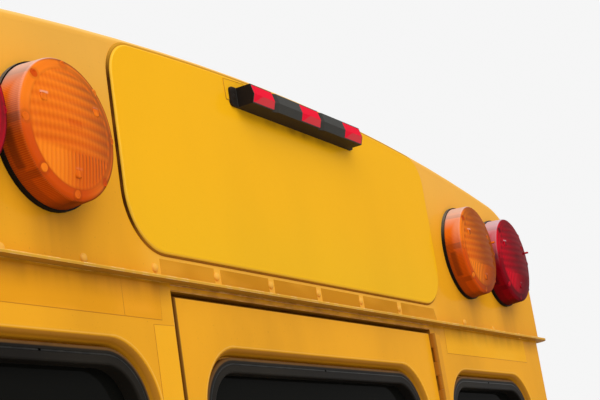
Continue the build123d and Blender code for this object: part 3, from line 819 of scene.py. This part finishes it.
# The side faces and the tabs are darker, and the faces that look down browner.
shown = tint(tree, ramp(tree, unsigned(tree, look["X"]), 0.4, 0.7), colour(62, 61, 58), colour(30, 25, 22))
ends = maths(tree, "GREATER_THAN", unsigned(tree, spot(tree)["X"]), bar_high.x + 0.003)
shown = tint(tree, ends, shown, colour(36, 31, 28))
shown = tint(tree, ramp(tree, look["Z"], -0.15, -0.9), shown, colour(50, 42, 32))
show(tree, shader, filmed(tree, shader, shown, colour(110, 100, 86), 0.12, 0.4))
relief(tree, shader, 0.25, 0.0003, cloud(tree, 900.0, 2.0))
dress(plastic, "light_bar_housing")

bar_red, tree, shader = finish("bar lens", Roughness=0.15, Coat_Weight=0.06, Coat_Roughness=0.03,
                               Specular_IOR_Level=0.0)
here = spot(tree)
lens_wide = 0.061
lens_pitch = (bar_high.x - bar_low.x - lens_wide) / 2
fold_rise = 0.0119
along = maths(tree, "FRACT", maths(tree, "DIVIDE", maths(tree, "SUBTRACT", here["X"], bar_low.x), lens_pitch))
fold = maths(tree, "ADD", ramp(tree, along, 0.0, 0.2, 0.0, fold_rise), bar_low.z)
# The facet below the fold is coloured pinkish as a painted sheen, the upper one saturated red.
lower = ramp(tree, maths(tree, "SUBTRACT", here["Z"], fold), 0.0006, -0.0006)
show(tree, shader, tint(tree, lower, colour(238, 22, 52), colour(214, 62, 68)))
relief(tree, shader, 0.15, 0.0003, maths(tree, "SINE", times(tree, here["Z"], full_turn / 0.0022)))
dress(bar_red, "light_bar_lenses")

steel, tree, shader = finish("steel", Metallic=1.0)
brushed = cloud(tree, 60.0, 2.0, (1, 1, 18))
show(tree, shader, mottled(tree, (14.0, 4.0, 0.45, 0.75), (176, 176, 172), (122, 112, 98)))
tree.links.new(ramp(tree, brushed, 0.2, 0.8, 0.28, 0.5), shader.inputs["Roughness"])
relief(tree, shader, 0.12, 0.0003, brushed)
tab_x = housing_high.x - 0.009
tab_front = sign_low.y - 0.0037
bar_z = (housing_low.z + housing_high.z) / 2
screws = [solid(turned((s * tab_x, tab_front, bar_z), rear, domed(0.0045, 0.0018), 16)) for s in (-1, 1)]
make("bar_screws", screws, plastic, "shell")
patch_low = 1.800
patch_right = -0.150
patch = corners([(-0.2060, patch_low), (patch_right, patch_low), (patch_right, 1.8345), (-0.2075, 1.8311)])
make("old_patch", [solid(plate(patch, sign_low.y, 0.0006, 0.0002))], sheeting, "shell")
patch_rim = ((0, 0.0002), (0.0009, 0.0002), (0.0007, 0.0009), (0, 0.0009))
make("patch_edge", [solid(carry(patch, patch_rim, sign_low.y), True)], sealant, "shell")


# Rear walls, side returns and the panels round the door: sheet steel over posts, painted, lined inside.
# Bands of reflective tape lie under the rail and a strip of it runs down beside the door.
body_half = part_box("side_wall_right")[1].x
wall_deep = 0.038
side_deep = 0.035


def between_sides(tree):
    """Mask of what lies in from the side walls."""
    return maths(tree, "LESS_THAN", unsigned(tree, spot(tree)["X"]), body_half - side_deep)


def behind_wall(tree):
    """Mask of the inner faces: in front of the rear wall's skin and in from the sides."""
    return times(tree, between_sides(tree), maths(tree, "GREATER_THAN", spot(tree)["Y"], rear_y + wall_deep))


def recess_shade(tree):
    """Mask of the painted shade in the recesses and gaps: faces of the rear that don't look rearwards."""
    turned_in = ramp(tree, facing(tree)["Y"], -0.96, -0.86, 0.0, 0.72)
    shallow = ramp(tree, spot(tree)["Y"], rear_y + 0.012, rear_y + 0.005, 0.5, 1.0)
    return times(tree, turned_in, shallow, between_sides(tree))


def lip_highlight(tree):
    """Mask of the painted highlight on the line where a recess begins to roll in."""
    look = facing(tree)["Y"]
    line = times(tree, ramp(tree, look, -0.9990, -0.985), ramp(tree, look, -0.955, -0.975))
    return times(tree, line, between_sides(tree), 0.45)


# Brown painted shade for recesses and gaps, and a pale painted highlight for their rolled lips.
recess_shade_brown = colour(150, 92, 28)
lip_highlight_pale = colour(255, 200, 96)
sill_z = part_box("window_gasket_left")[0].z - 0.004
# The run under the whole rail is dirt and painted shade from the rail above.
ledge_dirt_and_shade_runs = [(0.0, wall_top + 0.002, 3.0, 0.040, 0.65)]
window_x = 0.68
sill_runs = [(x, sill_z, 0.26, 0.22, 0.35) for x in (-window_x, window_x)]
dress(paint("wall paint", school_yellow, ledge_dirt_and_shade_runs + sill_runs,
            over=((recess_shade, recess_shade_brown), (lip_highlight, lip_highlight_pale), (behind_wall, lining_grey))),
      "rear_wall_left", "rear_wall_right", "side_wall_left", "side_wall_right", "door_header", "lower_panel")

band_low = 1.4555
band_high = wall_top - 0.004
left_out = -0.985
left_in = -0.443
seam = -0.523
seam_end = seam + 0.0012
right_in = 0.480
right_out = 0.905
strip_low = 0.120
strip_high = 1.4488
strip_left = -0.462
strip_right = -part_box("door_panel")[1].x - 0.0075
left_bands = [
    corners([(left_out, band_low), (seam, band_low), (seam, band_high), (left_out, band_high)]),
    corners([(seam_end, band_low), (left_in, band_low), (left_in + 0.003, band_high), (seam_end, band_high)])]
right_band = corners([(right_in, band_low), (right_out, band_low), (right_out, band_high),
                      (right_in + 0.004, band_high)])
strip = corners([(strip_left, strip_low), (strip_right, strip_low), (strip_right, strip_high),
                 (strip_left, strip_high - 0.001)])
wall_tape = tape("wall tape", colour(238, 160, 28), colour(252, 170, 44), ledge_dirt_and_shade_runs)
strip_tape = tape("strip tape", colour(253, 180, 38), colour(255, 186, 48), ledge_dirt_and_shade_runs)
for name, bands, material in (("left_wall_tape", left_bands, wall_tape),
                              ("door_side_tape", (strip, right_band), strip_tape)):
    make(name, [solid(plate(b, rear_y, tape_thick)) for b in bands], material, "shell")
caught = ((0, -0.0003), (0.0009, -0.0003), (0.0008, 0.0002), (0, 0.0004))
rims = [solid(carry(b, caught, rear_y), True) for b in (*left_bands, right_band, strip)]
make("tape_edge_dirt", rims, paint("tape edge", colour(204, 132, 30), wear=0.0), "shell")


# Windows: dark tinted glass held by rubber sections, each closed by a locking strip pressed into its groove.
# The strip's ends meet at the top middle, where a little gap shows.
glass, tree, shader = finish("dark glass", Specular_IOR_Level=0.0, Coat_Weight=0.05, Transmission_Weight=0.1,
                             IOR=1.05, Base_Color=(0.006, 0.006, 0.005, 1.0))
streak = ramp(tree, cloud(tree, 6.0, 4.0, (1, 1, 0.3)), 0.4, 0.8, 0.03, 0.12)
tree.links.new(streak, shader.inputs["Roughness"])
framing, frame_in, frame_out = effect(
    "round_frame", {"Centre": ("Float", 0.0), "Half Width": ("Float", 0.2), "Half Height": ("Float", 0.27),
                    "Middle": ("Float", 1.1), "Radius": ("Float", 0.08)}, {"Inside": "Float"})
here = spot(framing)
reach_x = unsigned(framing, maths(framing, "SUBTRACT", unsigned(framing, here["X"]), frame_in["Centre"]))
reach_z = unsigned(framing, maths(framing, "SUBTRACT", here["Z"], frame_in["Middle"]))
past = []
for reach, half in ((reach_x, frame_in["Half Width"]), (reach_z, frame_in["Half Height"])):
    over = maths(framing, "ADD", maths(framing, "SUBTRACT", reach, half), frame_in["Radius"])
    past.append(most(framing, over, 0.0))
inside = maths(framing, "SUBTRACT", frame_in["Radius"], hypotenuse(framing, *past))
framing.links.new(inside, frame_out["Inside"])


gasket_r = 0.084


def gasket_rubber(name, middle, half):
    """Window rubber: road film over black, and brown on the outer lip, as far in as the distance from the
    section's rounded outline says: paint dust, and painted shade that stands for the shaded wall of the
    recess beside it. The window's middle and half its size are given."""
    material, tree, shader = finish(name, Specular_IOR_Level=0.03)
    outline = {"Centre": abs(middle.x), "Middle": middle.z, "Radius": gasket_r, "Half Width": half.x,
               "Half Height": half.z}
    inside = wire(tree, "ShaderNodeGroup", outline, node_tree=framing).outputs["Inside"]
    outside_face = maths(tree, "LESS_THAN", spot(tree)["Y"], rear_y + 0.020)
    lip_dust_and_shade = times(tree, ramp(tree, inside, 0.0056, 0.0030), outside_face,
                   ramp(tree, cloud(tree, 45.0), 0.2, 0.6, 0.7, 0.95))
    aged = filmed(tree, shader, colour(28, 25, 22), rubber_dust, 0.18, 0.42)
    show(tree, shader, tint(tree, lip_dust_and_shade, aged, colour(112, 78, 40)))
    relief(tree, shader, 0.2, 0.0004, cloud(tree, 600.0, 2.0))
    return material


strip_rubber, tree, shader = finish("locking strip", Roughness=0.3, Specular_IOR_Level=0.1)
show(tree, shader, mottled(tree, (50.0, 3.0, 0.4, 0.7), (24, 23, 21), (40, 38, 34)))
locking_in = 0.0095
locking_r = gasket_r - locking_in
corner_steps = 14
half_gap = 0.0022
section = ((-0.0016, -0.001), (0.0016, -0.001), (0.0016, 0.0), (0.0009, 0.0007), (-0.0009, 0.0007),
           (-0.0016, 0.0))
for gasket, pane, title, body in (
        ("window_gasket_left", "window_glass_left", "left window rubber", "shell"),
        ("window_gasket_right", "window_glass_right", "right window rubber", "shell"),
        ("door_window_gasket", "door_window_glass", "door window rubber", "emergency_door")):
    low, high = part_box(gasket)
    middle = (low + high) / 2
    half = (high - low) / 2
    dress(gasket_rubber(title, middle, half), gasket)
    dress(glass, pane)
    half_x = half.x - locking_in
    half_z = half.z - locking_in
    corner_last = [np.roll(part, -corner_steps - 1, 0)
                   for part in round_box(middle.x, middle.z, half_x, half_z, locking_r, corner_steps)]
    start = [(middle.x - half_gap, middle.z + half_z)]
    end = [(middle.x + half_gap, middle.z + half_z)]
    up = [(0.0, 1.0)]
    outline = (np.vstack((start, corner_last[0], end)), np.vstack((up, corner_last[1], up)))
    make(gasket + "_locking_strip", [solid(carry(outline, section, low.y + 0.0006))], strip_rubber, body)


# Emergency door: a folded steel panel with its own window, on a piano hinge down its right edge.
# Painted with the body, worn round its edges; the handle is steel, and the hinge pin shows between knuckles.
door_low, door_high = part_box("door_panel")


def behind_door(tree):
    """Mask of the door's inner face."""
    return maths(tree, "GREATER_THAN", spot(tree)["Y"], rear_y + 0.0365)


def door_edge_grime_and_shade(tree):
    """Mask of the dark band along the door's left edge and its top: grime, with painted shade standing for
    the dark gaps beside them.
    """
    here = spot(tree)
    return most(tree, ramp(tree, here["X"], door_low.x + 0.0042, door_low.x + 0.0018, 0.0, 0.8),
                ramp(tree, here["Z"], door_high.z - 0.0030, door_high.z - 0.0010, 0.0, 0.8))


door_runs = [(0.0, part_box("door_window_gasket")[0].z - 0.004, 0.34, 0.2, 0.3)]
dress(paint("door paint", school_yellow, door_runs,
            over=((recess_shade, recess_shade_brown), (lip_highlight, lip_highlight_pale), (door_edge_grime_and_shade, colour(96, 54, 12)),
                  (behind_door, lining_grey))), "door_panel")


def knuckle_shade(tree):
    """Mask of the knuckles' left side and the notches, painted in shade."""
    return ramp(tree, facing(tree)["X"], 0.25, -0.65, 0.0, 0.85)


dress(paint("hinge paint", colour(240, 164, 36), wear=0.1, amount=0.2, over=((knuckle_shade, recess_shade_brown),)),
      "hinge_leaf_frame", "hinge_leaf_door")
dress(steel, "hinge_pin", "handle_plate", "outside_handle", "latch_case")
leaf_low, leaf_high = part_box("hinge_leaf_frame")
screw_x = leaf_high.x - 0.016
screw_y = rear_y - 0.0016
screw_pitch = 0.1524
first_down = 0.19
end_free = 0.02
rows = np.arange(leaf_high.z - first_down, leaf_low.z + end_free, -screw_pitch)
heads = [solid(turned((screw_x, screw_y, z), rear, domed(0.0045, 0.0014), 16)) for z in rows]
make("hinge_screws", heads, paint("painted trim", school_yellow, wear=0.7), "shell")


# Rub rails, bumper and brackets: rolled steel in black chassis paint, chipped to grey and rust at the edges.
# The rails are riveted through their middle flat; the bumper is held by coach bolts at each bracket.
chassis_wear = 0.6
black, tree, shader = finish("chassis black", Specular_IOR_Level=0.45)
chips = times(tree, ramp(tree, cloud(tree, 38.0, 5.0), 0.66, 0.70), chassis_wear)
bare = mottled(tree, (21.0, 3.0, 0.4, 0.6), (120, 62, 30), (130, 126, 120))
whole = filmed(tree, shader, colour(30, 29, 28), colour(118, 104, 84), 0.4, 0.34)
show(tree, shader, tint(tree, most(tree, edge_mask(tree, 0.003, chassis_wear), chips), whole, bare))
relief(tree, shader, 0.2, 0.0005, cloud(tree, 300.0, 2.0))
dress(black, "rub_rails", "bumper", "bumper_brackets", "floor_crossmember")

rub_low, rub_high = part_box("rub_rails")
rub_pitch = 0.1524
rub_head = domed(0.0055, 0.0024)
rub_in = 0.040
rear_first = 0.50
side_first = -0.06
heads = []
for z in (rub_low.z + rub_in, rub_high.z - rub_in):
    for s in (-1, 1):
        for x in rear_first + rub_pitch * np.arange(4):
            heads.append(solid(turned((s * x, rub_low.y, z), rear, rub_head, 16)))
        for y in (side_first, side_first - rub_pitch):
            heads.append(solid(turned((s * rub_high.x, y, z), (s, 0, 0), rub_head, 16)))
make("rub_rail_rivets", heads, black, "shell")
bumper_low, bumper_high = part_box("bumper")
bolt_in = 0.075
bolt_half = 0.035
bracket_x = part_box("bumper_brackets")[1].x - 0.005
bolt_y = bumper_low.y + 0.006
heads = []
for x in (-bracket_x - bolt_half, -bracket_x + bolt_half, bracket_x - bolt_half, bracket_x + bolt_half):
    for z in (bumper_low.z + bolt_in, bumper_high.z - bolt_in):
        heads.append(solid(turned((x, bolt_y, z), rear, domed(0.0130, 0.0055), 20)))
make("bumper_bolts", heads, black, "shell")


# Reflex reflectors: round red buttons, moulded in small cube corners behind a plain face.
# Acrylic, stuck to the lower panel; the borders of the cells show as darker lines.
reflex, tree, shader = finish("reflex red", Roughness=0.15, Coat_Weight=0.15, Coat_Roughness=0.03,
                              Specular_IOR_Level=0.05)
borders = ramp(tree, cell_edges(tree, 330.0, 0.0), 0.0, 0.16)
show(tree, shader, tint(tree, borders, colour(110, 4, 12), colour(206, 16, 30)))
dress(reflex, "rear_reflectors")


# Inside: painted lining, the roof bow and posts at the joint, the door's stop and a ribbed rubber floor.
# The latch case carries a red release lever.
dress(paint("lining", lining_grey, amount=0.25, gloss=0.4, chip=colour(150, 146, 136)),
      "roof_bow", "body_posts", "door_frame")
floor_rubber, tree, shader = finish("floor rubber", Specular_IOR_Level=0.35)
here = spot(tree)
ribbing = maths(tree, "SINE", times(tree, here["X"], full_turn / 0.0127))
show(tree, shader, filmed(tree, shader, colour(52, 52, 50), colour(124, 112, 92), 0.5, 0.5))
relief(tree, shader, 0.8, 0.002, times(tree, ribbing, ramp(tree, here["Z"], 0.070, 0.074)))
dress(floor_rubber, "floor_panel")
dress(paint("lever red", colour(196, 24, 28), amount=0.2, wear=0.8, chip=colour(150, 150, 146)),
      "release_lever")


# Floor, light and camera: a pale studio floor, a broad soft light high on the left and a weaker one behind.
# The camera stands where the photograph was taken, low and to the left behind the bus.
floor_z = cad_box[0].z
half = 30.0
mesh = bpy.data.meshes.new("floor")
mesh.from_pydata([(x, y, floor_z) for x, y in ((-half, -half), (half, -half), (half, half), (-half, half))],
                 [], [(0, 1, 2, 3)])
floor = bpy.data.objects.new("floor", mesh)
bpy.context.scene.collection.objects.link(floor)
mesh.materials.append(finish("floor paint", Roughness=0.7, Base_Color=colour(222, 222, 218))[0])

backdrop = 0.92
fill_light = 0.55
world = bpy.data.worlds.new("studio")
bpy.context.scene.world = world
world.use_nodes = True
tree = world.node_tree
back = tree.nodes["Background"]
path = tree.nodes.new("ShaderNodeLightPath").outputs
seen = most(tree, path["Is Camera Ray"], path["Is Glossy Ray"], path["Is Transmission Ray"])
back.inputs["Color"].default_value = (1.0, 1.0, 1.0, 1.0)
tree.links.new(maths(tree, "MULTIPLY_ADD", seen, backdrop - fill_light, fill_light), back.inputs["Strength"])


def softbox(name, place, aim, wide, high, power):
    """A rectangular area light, turned to face the point it is aimed at."""
    data = bpy.data.lights.new(name, "AREA")
    data.shape = "RECTANGLE"
    data.size = wide
    data.size_y = high
    data.energy = power
    lamp = bpy.data.objects.new(name, data)
    lamp.location = place
    lamp.rotation_mode = "QUATERNION"
    lamp.rotation_quaternion = (Vector(aim) - Vector(place)).to_track_quat("-Z", "Y")
    bpy.context.scene.collection.objects.link(lamp)


softbox("sky", (-2.5, -3.5, 5.0), (0.0, 0.0, 1.4), 7.0, 5.0, 208.0)
softbox("front", (0.8, -6.0, 3.6), (0.0, 0.0, 1.0), 4.0, 3.0, 22.0)

camera_place = (-1.9168, -1.2667, 1.1514)
camera_yaw = math.radians(-63.097)
camera_pitch = math.radians(13.777)
camera_roll = math.radians(8.940)
focal_px = 1409.4
frame_px = 600
data = bpy.data.cameras.new("camera")
data.sensor_width = 36.0
data.lens = focal_px / frame_px * data.sensor_width
data.clip_start = 0.01
camera = bpy.data.objects.new("camera", data)
turn = Matrix.Rotation(camera_yaw, 4, "Z") @ Matrix.Rotation(camera_pitch, 4, "X")
turn = turn @ Matrix.Rotation(camera_roll, 4, "Y") @ Matrix.Rotation(math.pi / 2, 4, "X")
camera.matrix_world = Matrix.Translation(camera_place) @ turn
bpy.context.scene.collection.objects.link(camera)
bpy.context.scene.camera = camera
bpy.context.scene.view_settings.view_transform = "Standard"
